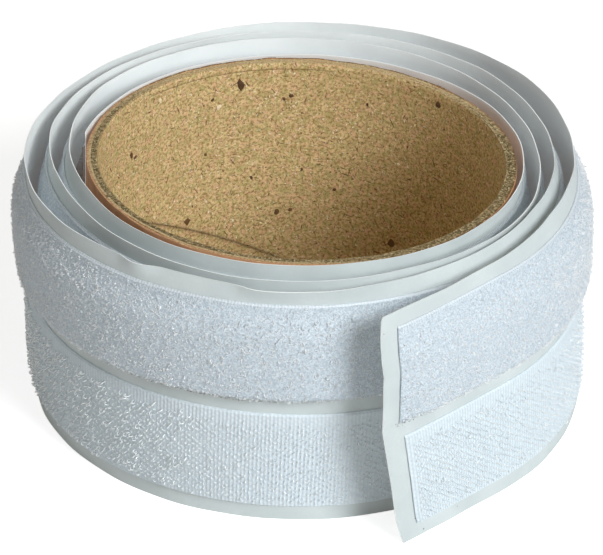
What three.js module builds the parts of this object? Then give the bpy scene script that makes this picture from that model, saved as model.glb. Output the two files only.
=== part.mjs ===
// Hook and loop tape roll: a paper core with a long double strip of self-adhesive tape wound loosely round it.
// Millimetres, +Z up. The roll stands on the lower edge of its liner and on the end of its core.
// The origin is the middle of the roll's outer box, at the level that it stands on.
import * as THREE from "three";

// Paper core: a tube glued up from thin plies, from the inside out
const coreBore = 77;
const plyThickness = 0.45;
const plyNames = [
  "core_inner_ply",
  "core_second_ply",
  "core_middle_ply",
  "core_fourth_ply",
  "core_outer_ply",
];
const coreFit = 0.4; // between the core and the innermost turn, so that the core slides out
const coreSides = 60;

// Tape: layers from the core outwards, then widths along the core
const liner = 0.2;
const adhesive = 0.15;
const ground = 0.4;
const loopPile = 1.6;
const hookHeight = 1.2;
const stripWidth = 20;
const bareMargin = 3; // below, between and above the two strips
const adhesiveInset = 0.5; // the film stops short of each side of its strip
const loopSelvedge = 0.5;
const hookSelvedgeTop = 2;
const hookSelvedgeBottom = 1;
const pullTab = 3.7; // bare liner past the end of the strips

// Winding: turns are counted from the inner end of the tape, which lies at innerEndAngle
const turns = 3.647;
const innerEndAngle = 157; // degrees, as all angles here
const lapGap = 0.45; // between the pile of one turn and the liner of the next, where they lie tight
const snugShare = 0.55; // of the first turn, which lies on the core
const backSlackWidth = 6.15; // how far the loose turns stand off at the back
const backSlackShare = 0.57; // of a turn, in which most of that slack has come in
const backSlackAngle = 87;
const backSlackPower = 3.5;
const frontSlackWidth = 1.1; // what each turn adds at the front left
const frontSlackAngle = 228;
const frontSlackPower = 3.2;
const springDistance = 7.9; // how far the cut end springs away from the roll
const springShare = 0.088; // of a turn, over which it does
const pinchDepth = 1.1;
const deepPinchDepth = 1.65;
const outerBulgeHeight = 3.5;
const waves = [
  { atShare: 1.395, spreadShare: 0.087, rise: -pinchDepth },
  { atShare: 1.85, spreadShare: 0.08, rise: -deepPinchDepth },
  { atShare: 3.285, spreadShare: 0.09, rise: outerBulgeHeight },
];
const freeEndShare = 0.097;
const hingeGap = 0.6;
const stepsPerTurn = 40;
const freeEndSteps = 8;

// Sizes that follow
const rollDegrees = 360;
const coreRadius = coreBore / 2 + plyNames.length * plyThickness;
const linerWidth = 2 * stripWidth + 3 * bareMargin;
const tapeThickness = liner + adhesive + ground + loopPile;
const turnPitch = tapeThickness + lapGap;
const hingeTurn = turns - freeEndShare;

const radians = THREE.MathUtils.degToRad;

// 1 at the middle angle and 0 opposite it, narrower the higher the power
function swell(angle, middle, power) {
  return ((1 + Math.cos(radians(angle - middle))) / 2) ** power;
}

// Turns that the tape has climbed: it rises a whole one by the time it passes over its own inner end
function climbed(turn) {
  return turn < 1 ? Math.max(0, (turn - snugShare) / (1 - snugShare)) : turn;
}

// Distance of the liner's inner face from the core's axis
function tapeRadius(turn) {
  const angle = innerEndAngle - rollDegrees * turn;
  const looseBack = backSlackWidth * (1 - Math.exp(-turn / backSlackShare));
  let radius = coreRadius + coreFit + turnPitch * climbed(turn);
  radius += looseBack * swell(angle, backSlackAngle, backSlackPower);
  radius += frontSlackWidth * climbed(turn) * swell(angle, frontSlackAngle, frontSlackPower);
  for (const { atShare, spreadShare, rise } of waves) {
    radius += rise * Math.exp(-(((turn - atShare) / spreadShare) ** 2));
  }
  const sprung = Math.max(0, turn - turns + springShare) / springShare;
  return radius + springDistance * sprung ** 2;
}

function onTape(turn) {
  const angle = radians(innerEndAngle - rollDegrees * turn);
  return new THREE.Vector2(Math.cos(angle), Math.sin(angle)).multiplyScalar(tapeRadius(turn));
}

// A point off the liner's inner face, square to the tape and away from the core
function offTape(turn, off) {
  const aside = 1 / (rollDegrees * stepsPerTurn);
  const along = onTape(turn + aside).sub(onTape(turn - aside)).normalize();
  return onTape(turn).add(new THREE.Vector2(-along.y, along.x).multiplyScalar(off));
}

// The share of a turn that a length of tape takes at a place
function shareOfTurn(length, turn) {
  return length / (2 * Math.PI * tapeRadius(turn));
}

function stations(from, to, steps) {
  return Array.from({ length: steps + 1 }, (_, i) => from + ((to - from) * i) / steps);
}

// A flat strip on edge, swept along the tape as one closed skin
function sweptStrip(places, inner, outer, bottom, top) {
  const points = [];
  for (const turn of places) {
    const near = offTape(turn, inner);
    const far = offTape(turn, outer);
    points.push(near.x, near.y, bottom, far.x, far.y, bottom);
    points.push(far.x, far.y, top, near.x, near.y, top);
  }
  const faces = [];
  const corners = 4;
  for (let i = 0; i + 1 < places.length; i++) {
    for (let side = 0; side < corners; side++) {
      const a = i * corners + side;
      const b = i * corners + ((side + 1) % corners);
      faces.push(a, b, b + corners, a, b + corners, a + corners);
    }
  }
  const last = (places.length - 1) * corners;
  faces.push(0, 2, 1, 0, 3, 2);
  faces.push(last, last + 1, last + 2, last, last + 2, last + 3);
  const geometry = new THREE.BufferGeometry();
  geometry.setAttribute("position", new THREE.Float32BufferAttribute(points, 3));
  geometry.setIndex(faces);
  geometry.computeVertexNormals();
  return geometry;
}

function part(name, geometry, material) {
  const mesh = new THREE.Mesh(geometry, material);
  mesh.name = name;
  return mesh;
}

function finish(color, roughness) {
  return new THREE.MeshStandardMaterial({ color, roughness, metalness: 0 });
}

const kraft = finish(0xb59262, 0.9);
const smoothKraft = finish(0xb9763c, 0.8);
const slickPaper = finish(0xe6eaee, 0.35);
const clearGlue = finish(0xdfe3e6, 0.3);
const whiteWeave = finish(0xdde4ec, 0.8);
const whitePile = finish(0xe4ebf4, 0.95);
const clearHooks = finish(0xd9e2ec, 0.45);

// Core: one tube for each ply
function makeCore() {
  const core = new THREE.Group();
  plyNames.forEach((name, index) => {
    const inner = coreBore / 2 + index * plyThickness;
    const outer = coreBore / 2 + (index + 1) * plyThickness;
    const profile = [
      new THREE.Vector2(inner, 0),
      new THREE.Vector2(outer, 0),
      new THREE.Vector2(outer, linerWidth),
      new THREE.Vector2(inner, linerWidth),
      new THREE.Vector2(inner, 0),
    ];
    const tube = new THREE.LatheGeometry(profile, coreSides);
    tube.rotateX(Math.PI / 2);
    const outermost = index === plyNames.length - 1;
    core.add(part(name, tube, outermost ? smoothKraft : kraft));
  });
  return core;
}

// The layers of the tape, each from its inner to its outer face and from its lower to its upper side
function tapeLayers() {
  const hookStrip = bareMargin;
  const loopStrip = hookStrip + stripWidth + bareMargin;
  const onLiner = liner;
  const onGlue = onLiner + adhesive;
  const onGround = onGlue + ground;
  const film = [adhesiveInset, stripWidth - adhesiveInset];
  const weave = [0, stripWidth];
  const pile = [loopSelvedge, stripWidth - loopSelvedge];
  const hooks = [hookSelvedgeBottom, stripWidth - hookSelvedgeTop];
  const layer = (name, faces, strip, [low, high], material) => ({
    name,
    faces,
    sides: [strip + low, strip + high],
    material,
  });
  return [
    layer("release_liner", [0, onLiner], 0, [0, linerWidth], slickPaper),
    layer("loop_adhesive", [onLiner, onGlue], loopStrip, film, clearGlue),
    layer("loop_ground", [onGlue, onGround], loopStrip, weave, whiteWeave),
    layer("loop_pile", [onGround, onGround + loopPile], loopStrip, pile, whitePile),
    layer("hook_adhesive", [onLiner, onGlue], hookStrip, film, clearGlue),
    layer("hook_ground", [onGlue, onGround], hookStrip, weave, whiteWeave),
    layer("hook_field", [onGround, onGround + hookHeight], hookStrip, hooks, clearHooks),
  ];
}

// Winding: from the inner end of the tape to where its free end lifts
function makeWinding() {
  const winding = new THREE.Group();
  const places = stations(0, hingeTurn, Math.round(stepsPerTurn * hingeTurn));
  for (const { name, faces, sides, material } of tapeLayers()) {
    winding.add(part(name, sweptStrip(places, ...faces, ...sides), material));
  }
  return winding;
}

// Free end: the last stretch of the same layers, with the bare tab of the liner past the strips
function makeFreeEnd() {
  const freeEnd = new THREE.Group();
  const start = hingeTurn + shareOfTurn(hingeGap, hingeTurn);
  const stripPlaces = stations(start, turns - shareOfTurn(pullTab, turns), freeEndSteps);
  for (const { name, faces, sides, material } of tapeLayers()) {
    const places = name === "release_liner" ? [...stripPlaces, turns] : stripPlaces;
    freeEnd.add(part(name + "_free_end", sweptStrip(places, ...faces, ...sides), material));
  }
  return freeEnd;
}

// The least gap between the outer face of the pile and the liner of the next turn
function leastGap() {
  const places = stations(0, turns, Math.round(stepsPerTurn * turns));
  const liners = places.map((turn) => offTape(turn, 0));
  let least = Infinity;
  for (const turn of places) {
    const crest = offTape(turn, tapeThickness);
    for (let i = 0; i + 1 < places.length; i++) {
      if (places[i] < turn + snugShare) continue;
      const run = new THREE.Vector2().subVectors(liners[i + 1], liners[i]);
      const from = new THREE.Vector2().subVectors(crest, liners[i]);
      const share = THREE.MathUtils.clamp(from.dot(run) / run.lengthSq(), 0, 1);
      least = Math.min(least, from.sub(run.multiplyScalar(share)).length());
    }
  }
  return least;
}

console.log("least gap between turns", leastGap().toFixed(2), "mm");

const roll = new THREE.Group();
roll.add(makeCore(), makeWinding(), makeFreeEnd());
const middle = new THREE.Box3().setFromObject(roll).getCenter(new THREE.Vector3());
roll.position.set(-middle.x, -middle.y, 0);

const model = new THREE.Group();
model.add(roll);
export default model;
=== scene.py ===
"""Hook and loop tape roll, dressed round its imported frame.

A paper core stands inside a long double strip of self-adhesive tape: a loop strip above a hook strip on one
release liner, wound loosely round the core, with a cut end that stands off the roll. Lengths are metres in
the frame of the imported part. Angles are radians, turns are counted from the inner end of the tape, and the
tape runs clockwise as seen from above.
"""

import logging
import math
from dataclasses import dataclass, field
from enum import Enum

import bpy
import numpy as np
from mathutils import Matrix, Vector

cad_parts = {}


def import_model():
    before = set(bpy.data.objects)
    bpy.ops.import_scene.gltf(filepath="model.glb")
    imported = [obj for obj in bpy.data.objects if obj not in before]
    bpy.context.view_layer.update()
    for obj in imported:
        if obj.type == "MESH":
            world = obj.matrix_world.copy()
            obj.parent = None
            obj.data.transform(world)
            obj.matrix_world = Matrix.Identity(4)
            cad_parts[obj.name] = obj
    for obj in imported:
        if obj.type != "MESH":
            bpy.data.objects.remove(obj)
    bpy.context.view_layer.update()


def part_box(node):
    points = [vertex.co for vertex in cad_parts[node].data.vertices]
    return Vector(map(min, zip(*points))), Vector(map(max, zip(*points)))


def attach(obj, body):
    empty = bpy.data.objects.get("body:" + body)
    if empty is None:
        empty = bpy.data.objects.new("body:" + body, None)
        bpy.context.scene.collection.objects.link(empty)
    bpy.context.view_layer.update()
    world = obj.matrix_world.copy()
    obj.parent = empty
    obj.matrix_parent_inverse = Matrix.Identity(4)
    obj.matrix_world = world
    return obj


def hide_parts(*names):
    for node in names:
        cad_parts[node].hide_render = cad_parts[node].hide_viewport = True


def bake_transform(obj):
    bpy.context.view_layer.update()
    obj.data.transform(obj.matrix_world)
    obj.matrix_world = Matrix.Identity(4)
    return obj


Array = np.ndarray
Colour = tuple[float, float, float, float]
Material = bpy.types.Material
Piece = bpy.types.Object
Socket = bpy.types.NodeSocket
Trio = tuple[Array, Array, Array]
Frame = tuple[Array, Array, Array, Array]
Inputs = dict[int | str, object]

LOG = logging.getLogger("tape_roll")
MM = 0.001
ROUND = 2.0 * math.pi
WHITE = (1.0, 1.0, 1.0, 1.0)


# Small helpers


def srgb(*channels: int) -> Colour:
    """A colour as seen, 0 to 255 a channel, as linear colour by the sRGB curve, with an alpha of 1."""
    shares = (channel / 255.0 for channel in channels)
    return (*(s / 12.92 if s <= 0.04045 else ((s + 0.055) / 1.055) ** 2.4 for s in shares), 1.0)


def smooth_step(share: Array) -> Array:
    """0 below 0, 1 above 1, and a smooth rise between them: 3 s squared less 2 s cubed."""
    held = np.clip(share, 0.0, 1.0)
    return held * held * (3.0 - 2.0 * held)


def unit(vectors: Array) -> Array:
    """Vectors over their own lengths, along the last axis."""
    return vectors / np.maximum(np.linalg.norm(vectors, axis=-1, keepdims=True), 1e-12)


def cloud(rows: int, columns: int, spacing: tuple[float, float], grain: float, seed: int) -> Array:
    """A smooth random field with a mean of 0 and a spread of 1: white noise, blurred by a bell curve.

    Args:
        rows: samples along the first axis.
        columns: samples along the second axis.
        spacing: distance between samples along each axis.
        grain: width of the bell curve, in the same unit.
        seed: what the noise is drawn from.

    Returns:
        The field, rows by columns.
    """
    noise = np.random.default_rng(seed).standard_normal((rows, columns))
    along = np.fft.fftfreq(rows, spacing[0])[:, None]
    across = np.fft.rfftfreq(columns, spacing[1])[None, :]
    blur = np.exp(-2.0 * (math.pi * grain) ** 2 * (along**2 + across**2))
    blurred = np.fft.irfft2(np.fft.rfft2(noise) * blur, s=(rows, columns))
    return (blurred - blurred.mean()) / blurred.std()


# Meshes


@dataclass
class Skin:
    """Faces of one piece, before they become a mesh.

    Corners are points, fours and threes are faces by corner number, flat is a map in metres, shade is a
    number from 0 to 1 for each corner, and slots give each of the fours a material.
    """

    corners: Array
    fours: Array
    threes: Array = field(default_factory=lambda: np.zeros((0, 3), int))
    flat: Array | None = None
    shade: Array | None = None
    slots: Array | None = None

    def joined(self, other: "Skin") -> "Skin":
        """This layer of the tape and another one as one skin, with their maps."""
        fours = np.concatenate([self.fours, other.fours + len(self.corners)])
        corners = np.concatenate([self.corners, other.corners])
        return Skin(corners, fours, flat=np.concatenate([self.flat, other.flat]))

    def face_out(self) -> None:
        """Turns all the faces if they enclose less than nothing."""
        thirds = np.concatenate([self.fours[:, :3], self.fours[:, [0, 2, 3]], self.threes])
        a, b, c = (self.corners[thirds[:, i]] for i in range(3))
        if np.einsum("ij,ij->i", a, np.cross(b, c)).sum() < 0:
            self.fours, self.threes = self.fours[:, ::-1], self.threes[:, ::-1]

    def piece(self, name: str, materials: list[Material], crease: float | None = 40.0) -> Piece:
        """Makes the mesh and its object, at the origin.

        Args:
            name: the piece's name.
            materials: one for each number in slots.
            crease: degrees between faces past which an edge stays sharp, or None for no sharp edge.

        Returns:
            The object, in the scene.
        """
        self.face_out()
        mesh = bpy.data.meshes.new(name)
        mesh.vertices.add(len(self.corners))
        mesh.vertices.foreach_set("co", self.corners.astype(np.float32).ravel())
        order = np.concatenate([self.fours.ravel(), self.threes.ravel()]).astype(np.int32)
        sizes = np.repeat([4, 3], [len(self.fours), len(self.threes)])
        mesh.loops.add(len(order))
        mesh.loops.foreach_set("vertex_index", order)
        mesh.polygons.add(len(sizes))
        mesh.polygons.foreach_set("loop_start", (np.cumsum(sizes) - sizes).astype(np.int32))
        for material in materials:
            mesh.materials.append(material)
        if self.slots is not None:
            mesh.polygons.foreach_set("material_index", self.slots.astype(np.int32))
        if self.flat is not None:
            layer = mesh.uv_layers.new(name="tape")
            layer.uv.foreach_set("vector", self.flat[order].astype(np.float32).ravel())
        if self.shade is not None:
            attribute = mesh.attributes.new("shade", "FLOAT", "POINT")
            attribute.data.foreach_set("value", self.shade.astype(np.float32))
        mesh.update(calc_edges=True)
        mesh.validate()
        mesh.shade_smooth()
        if crease is not None:
            mesh.set_sharp_from_angle(angle=math.radians(crease))
        obj = bpy.data.objects.new(name, mesh)
        bpy.context.scene.collection.objects.link(obj)
        LOG.info("%s: %d faces", name, len(mesh.polygons))
        return obj


def hoop_faces(rings: int, corners: int) -> Array:
    """Four corner numbers for each face of a tube of rings, each joined to the next one, and closed round."""
    ring = np.arange(rings - 1)[:, None] * corners
    corner = np.arange(corners)[None, :]
    after = (corner + 1) % corners
    faces = np.stack([ring + corner, ring + after, ring + corners + after, ring + corners + corner], -1)
    return faces.reshape(-1, 4)


def band_faces(rings: int, corners: int) -> Array:
    """Faces of a flat band: a tube whose ends are closed by ladders, from each corner to the one opposite.

    Args:
        rings: how many rings there are.
        corners: how many corners each has, an even number.

    Returns:
        Four corner numbers for each face.
    """
    step = np.arange(corners // 2 - 1)
    ladder = np.stack([step, step + 1, corners - 2 - step, corners - 1 - step], -1)
    return np.concatenate([hoop_faces(rings, corners), ladder, ladder[:, ::-1] + (rings - 1) * corners])


def stub_faces(stubs: int, rings: int, corners: int) -> tuple[Array, Array]:
    """Faces of many tubes that are all alike, each closed by a fan at both ends.

    Args:
        stubs: how many tubes there are.
        rings: how many rings each has.
        corners: how many corners a ring has.

    Returns:
        The fours and the threes.
    """
    first = (np.arange(stubs) * rings * corners)[:, None, None]
    fan = np.stack([np.zeros(corners - 2, int), np.arange(1, corners - 1), np.arange(2, corners)], -1)
    ends = np.concatenate([fan[:, ::-1], fan + (rings - 1) * corners])
    return (first + hoop_faces(rings, corners)).reshape(-1, 4), (first + ends).reshape(-1, 3)


def filaments(path: Array, side: Array, thickness: Array, corners: int, shade: Array) -> Skin:
    """Thin closed tubes. A ring's corner is at the path plus half the thickness times the cosine of its angle
    along the normal in the path's plane, and the sine along the other normal.

    Args:
        path: tubes by points by 3, each tube's centreline.
        side: tubes by 3, a direction square to most of each path.
        thickness: one for each tube.
        corners: corners of each ring.
        shade: one number for each tube.

    Returns:
        The skin.
    """
    tubes, points = path.shape[:2]
    run = unit(np.gradient(path, axis=1))
    inward = unit(np.cross(run, side[:, None, :]))
    across = np.cross(run, inward)
    angle = (np.arange(corners) * ROUND / corners)[:, None]
    ring = inward[:, :, None] * np.cos(angle) + across[:, :, None] * np.sin(angle)
    places = path[:, :, None] + ring * (thickness[:, None, None, None] / 2.0)
    fours, threes = stub_faces(tubes, points, corners)
    return Skin(places.reshape(-1, 3), fours, threes, shade=np.repeat(shade, points * corners))


def flakes(frame: Frame, size: Array, slim: Array, lift: float, seed: int) -> Skin:
    """Thin ragged flakes that lie on a surface.

    A flake is an ellipse turned by a random angle, its rim drawn in and out at random, with a smaller top
    face a little above a larger bottom one that is sunk in the surface.

    Args:
        frame: where each lies, two directions in the surface there, and the one off it.
        size: each flake's long half.
        slim: its short half as a share of the long one.
        lift: how far its top stands off the surface, and its bottom lies sunk in it.
        seed: what the raggedness is drawn from.

    Returns:
        The skin, with a random shade for each flake.
    """
    centre, side, up, out = (direction[:, None] for direction in frame)
    draw = np.random.default_rng(seed)
    count, corners = len(size), 7
    around = np.arange(corners) * ROUND / corners
    ragged = draw.uniform(0.65, 1.2, (count, corners))
    turn = draw.uniform(0, math.pi, count)[:, None]
    u = size[:, None] * ragged * np.cos(around)
    v = (size * slim)[:, None] * ragged * np.sin(around)
    spread = side * (u * np.cos(turn) - v * np.sin(turn))[..., None]
    spread = spread + up * (u * np.sin(turn) + v * np.cos(turn))[..., None]
    points = np.stack([centre + spread * 0.8 + out * lift, centre + spread - out * lift], 1)
    shade = np.clip(draw.normal(0.45, 0.3, count), 0, 1)
    return Skin(points.reshape(-1, 3), *stub_faces(count, 2, corners), shade=np.repeat(shade, 2 * corners))


# Materials


class Tree:
    """The nodes of a material or of the world, under construction."""

    def __init__(self, owner: Material | bpy.types.World) -> None:
        """Starts on an empty tree."""
        owner.use_nodes = True
        self.tree = owner.node_tree
        self.tree.nodes.clear()

    def put(self, socket: Socket, value: object) -> None:
        """Links a socket to the given one, or sets it to a plain value."""
        if isinstance(value, Socket):
            self.tree.links.new(value, socket)
        else:
            socket.default_value = value

    def node(self, kind: str, inputs: Inputs | None = None, **settings: object) -> bpy.types.Node:
        """Adds a node.

        Args:
            kind: its kind, as Blender names it after ShaderNode.
            inputs: what its sockets are linked to or set to.
            settings: its other properties.

        Returns:
            The node.
        """
        node = self.tree.nodes.new("ShaderNode" + kind)
        for name, value in settings.items():
            setattr(node, name, value)
        for name, value in (inputs or {}).items():
            self.put(node.inputs[name], value)
        return node

    def sums(self, kind: str, first: object, second: object) -> Socket:
        """One sum of two values, of the kind that Blender's Math node names."""
        return self.node("Math", {0: first, 1: second}, operation=kind).outputs["Value"]

    def between(self, value: Socket, low: float, high: float, start: float = 0.0, end: float = 1.0) -> Socket:
        """A value taken from low..high to start..end, and held there."""
        limits = {"From Min": low, "From Max": high, "To Min": start, "To Max": end}
        return self.node("MapRange", {"Value": value, **limits}).outputs["Result"]


class Bench(Tree):
    """A material under construction, round a Principled shader."""

    def __init__(self, name: str) -> None:
        """Starts a material of that name."""
        self.material = bpy.data.materials.new(name)
        super().__init__(self.material)
        self.shader = self.node("BsdfPrincipled")
        self.node("OutputMaterial", {"Surface": self.shader.outputs["BSDF"]})

    def set(self, **values: object) -> None:
        """Sets the shader's sockets, named in small letters with underlines."""
        names = {socket.name.lower().replace(" ", "_"): socket for socket in self.shader.inputs}
        for name, value in values.items():
            self.put(names[name], value)

    def place(self, flat: bool = True, stretch: float = 1.0, turn: float = 0.0, rise: float = 1.0) -> Socket:
        """Where a pattern is read, in metres.

        Args:
            flat: the piece's own map, or else Object coordinates.
            stretch: how much longer the pattern is along the tape.
            turn: degrees by which its axes are turned.
            rise: how much longer the pattern is up the tape.

        Returns:
            The place.
        """
        start = self.node("UVMap", uv_map="tape") if flat else self.node("TexCoord")
        inputs = {
            "Vector": start.outputs["UV" if flat else "Object"],
            "Rotation": (0.0, 0.0, math.radians(turn)),
            "Scale": (stretch, rise, 1.0),
        }
        return self.node("Mapping", inputs, vector_type="TEXTURE").outputs["Vector"]

    def ripple(self, place: Socket, axis: int, pitch: float) -> Socket:
        """A cosine, from -1 to 1, of one of a place's three lengths over a pitch."""
        length = self.node("SeparateXYZ", {0: place}).outputs[axis]
        return self.sums("COSINE", self.sums("MULTIPLY", length, ROUND / pitch), 0.0)

    def noise(self, place: Socket, scale: float, detail: float = 2.0, rough: float = 0.5) -> Socket:
        """Cloudy noise, from about 0.3 to 0.7."""
        inputs = {"Vector": place, "Scale": scale, "Detail": detail, "Roughness": rough}
        return self.node("TexNoise", inputs).outputs["Fac"]

    def shade(self) -> Socket:
        """The number that each corner of the mesh carries."""
        return self.node("Attribute", attribute_name="shade").outputs["Fac"]

    def mix(self, share: object, first: object, second: object) -> Socket:
        """Two colours mixed by a share."""
        return self.node("Mix", {0: share, 6: first, 7: second}, data_type="RGBA").outputs[2]

    def bump(self, height: Socket, strength: float, distance: float) -> None:
        """Adds a relief to the shader's normal, over any that it has."""
        node = self.node("Bump", {"Strength": strength, "Distance": distance, "Height": height})
        normal = self.shader.inputs["Normal"]
        if normal.is_linked:
            self.put(node.inputs["Normal"], normal.links[0].from_socket)
        self.put(normal, node.outputs["Normal"])


@dataclass(frozen=True)
class ReleasePaper:
    """Satin silicone paper: faint clouds in its colour and fine fibres in its relief.

    A faint glow stands for the light that comes through the thin paper from its other side.
    """

    name: str
    tone: Colour
    dull: Colour
    roughness: float
    glow: float = 0.0
    through: Colour = srgb(255, 240, 233)

    def material(self) -> Material:
        """Builds the finish."""
        bench = Bench(self.name)
        clouds = bench.noise(bench.place(), 90.0, 3.0)
        grain = bench.noise(bench.place(), 1500.0)
        tone = bench.mix(bench.between(clouds, 0.35, 0.68), self.tone, self.dull)
        tone = bench.mix(bench.between(grain, 0.35, 0.7, 0.0, 0.35), tone, self.dull)
        bench.set(
            base_color=tone,
            roughness=bench.between(clouds, 0.3, 0.7, self.roughness - 0.06, self.roughness + 0.06),
            specular_ior_level=0.4,
            emission_color=self.through,
            emission_strength=self.glow,
        )
        bench.bump(bench.noise(bench.place(stretch=3.0), 2600.0), 0.15, 0.05 * MM)
        bench.bump(clouds, 0.2, 0.3 * MM)
        return bench.material


@dataclass(frozen=True)
class CutPaperEdge:
    """The liner's cut edge: bare white fibres, and a faint glow where the light in the paper comes out."""

    tone: Colour = srgb(250, 253, 252)
    dull: Colour = srgb(228, 234, 232)
    glow: float = 0.18

    def material(self) -> Material:
        """Builds the finish."""
        bench = Bench("cut_paper_edge")
        grain = bench.noise(bench.place(), 1800.0)
        tone = bench.mix(bench.between(grain, 0.3, 0.7, 0.0, 0.6), self.tone, self.dull)
        bench.set(base_color=tone, roughness=0.8, emission_color=self.tone, emission_strength=self.glow)
        bench.bump(grain, 0.3, 0.05 * MM)
        return bench.material


@dataclass(frozen=True)
class ClearGlue:
    """Pressure-sensitive film: clear, glossy, a little yellow where it is thick."""

    tone: Colour = srgb(222, 226, 222)
    thick: Colour = srgb(198, 200, 190)

    def material(self) -> Material:
        """Builds the finish."""
        bench = Bench("clear_glue")
        grain = bench.noise(bench.place(), 900.0)
        tone = bench.mix(bench.between(grain, 0.3, 0.7), self.tone, self.thick)
        bench.set(base_color=tone, roughness=0.18, transmission_weight=0.35, specular_ior_level=0.5)
        bench.bump(grain, 0.3, 0.06 * MM)
        return bench.material


@dataclass(frozen=True)
class WovenGround:
    """The woven base of a strip: cords across the tape, a stitch now and then on each, fine yarns."""

    name: str
    cord: float
    tone: Colour
    dark_yarn_and_shade: Colour
    stitch: float = 0.94 * MM

    def material(self) -> Material:
        """Builds the finish."""
        bench = Bench(self.name)
        place = bench.place()
        yarns = bench.noise(bench.place(rise=3.0), 4200.0)
        grain = bench.noise(place, 900.0, 3.0)
        stitches = bench.ripple(place, 0, 2.0 * self.cord), bench.ripple(place, 1, self.stitch)
        stitches = bench.sums("MULTIPLY", *stitches)
        share = bench.between(yarns, 0.3, 0.6, 0.6, 1.0)
        # The shade that the mesh carries paints shade into the cords' valleys and the hook strip's front
        # left, and a highlight on the hook strip's side edges; the darker tone is also the yarns' own spread.
        for part in (
            bench.between(grain, 0.25, 0.6, 0.6, 1.0),
            bench.between(stitches, -1.0, 1.0, 0.75, 1.0),
            bench.between(bench.shade(), 0.1, 0.8, 0.35, 1.0),
        ):
            share = bench.sums("MULTIPLY", share, part)
        tone = bench.mix(share, self.dark_yarn_and_shade, self.tone)
        bench.set(base_color=tone, roughness=0.5, specular_ior_level=0.55)
        bench.set(sheen_weight=0.25, sheen_roughness=0.4)
        bench.bump(yarns, 0.4, 0.08 * MM)
        bench.bump(stitches, 0.35, 0.08 * MM)
        return bench.material


@dataclass(frozen=True)
class NylonYarn:
    """Nylon threads, some lighter and some darker, with a gloss that a clear coat sharpens."""

    name: str
    light: Colour
    dark: Colour
    roughness: float
    specular: float
    coat: float
    coat_roughness: float
    sheen: float = 0.0

    def material(self) -> Material:
        """Builds the finish."""
        bench = Bench(self.name)
        bench.set(
            base_color=bench.mix(bench.shade(), self.dark, self.light),
            roughness=self.roughness,
            specular_ior_level=self.specular,
            coat_weight=self.coat,
            coat_roughness=self.coat_roughness,
            sheen_weight=self.sheen,
            sheen_roughness=0.3,
        )
        return bench.material


@dataclass(frozen=True)
class PileBed:
    """The thick of the pile under the standing loops: crossed short hairs with shade between them."""

    light: Colour = srgb(230, 240, 246)
    dark: Colour = srgb(177, 190, 200)
    turns: tuple[float, ...] = (0.0, 50.0, 100.0, 145.0)

    def material(self) -> Material:
        """Builds the finish."""
        bench = Bench("pile_bed")
        hairs, *others = (bench.noise(bench.place(True, 3.5, turn), 4200.0, 2.0, 0.6) for turn in self.turns)
        for other in others:
            hairs = bench.sums("MAXIMUM", hairs, other)
        clouds = bench.between(bench.noise(bench.place(), 300.0), 0.3, 0.6, 0.8, 1.0)
        share = bench.sums("MULTIPLY", bench.between(hairs, 0.52, 0.70), clouds)
        bench.set(
            base_color=bench.mix(share, self.dark, self.light),
            roughness=bench.between(hairs, 0.5, 0.7, 0.75, 0.35),
            sheen_weight=0.2,
            sheen_roughness=0.4,
        )
        bench.bump(hairs, 0.35, 0.05 * MM)
        return bench.material


@dataclass(frozen=True)
class KraftBoard:
    """Recycled kraft paper: a close grain of light and dark fibres every way, pale and dark flecks, matt."""

    tone: Colour = srgb(238, 213, 158)
    brown: Colour = srgb(166, 136, 83)
    dark: Colour = srgb(92, 64, 34)
    pale: Colour = srgb(255, 250, 228)
    rose: Colour = srgb(236, 188, 154)
    olive: Colour = srgb(184, 180, 116)
    turns: tuple[float, ...] = (12.0, 58.0, 104.0, 151.0)

    def material(self) -> Material:
        """Builds the finish; the shade that the mesh carries darkens it as painted shade, in the score's
        groove and the seam's gap.
        """
        bench = Bench("kraft_board")
        place = bench.place()
        mottle = bench.noise(place, 420.0, 4.0, 0.7)
        tint = bench.noise(place, 560.0, 4.0, 0.7)
        grain = bench.noise(place, 1700.0, 3.0, 0.75)
        layers = [
            (mottle, 0.4, 0.66, 0.5, self.brown),
            (tint, 0.50, 0.60, 0.6, self.rose),
            (tint, 0.47, 0.37, 0.65, self.olive),
            (grain, 0.45, 0.62, 1.0, self.brown),
        ]
        for number, turn in enumerate(self.turns):
            fibre = bench.noise(bench.place(True, 7.0, turn), 2500.0 + 150.0 * number, 1.0)
            light = bench.noise(bench.place(True, 2.5, turn + 25.0), 2300.0 + 150.0 * number, 1.0)
            layers += [(fibre, 0.69, 0.75, 0.85, self.dark), (light, 0.705, 0.755, 0.9, self.pale)]
        layers += [
            (bench.noise(place, 1300.0, 1.0), 0.70, 0.74, 0.8, self.dark),
            # Painted shade in the score's groove and the seam's gap.
            (bench.shade(), 0.0, 1.0, 0.75, self.dark),
        ]
        colour = self.tone
        for pattern, low, high, most, over in layers:
            colour = bench.mix(bench.between(pattern, low, high, 0.0, most), colour, over)
        rough = bench.between(grain, 0.3, 0.7, 0.72, 0.92)
        bench.set(base_color=colour, roughness=rough, specular_ior_level=0.12)
        bench.bump(grain, 0.6, 0.18 * MM)
        bench.bump(mottle, 0.3, 0.25 * MM)
        return bench.material


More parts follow.
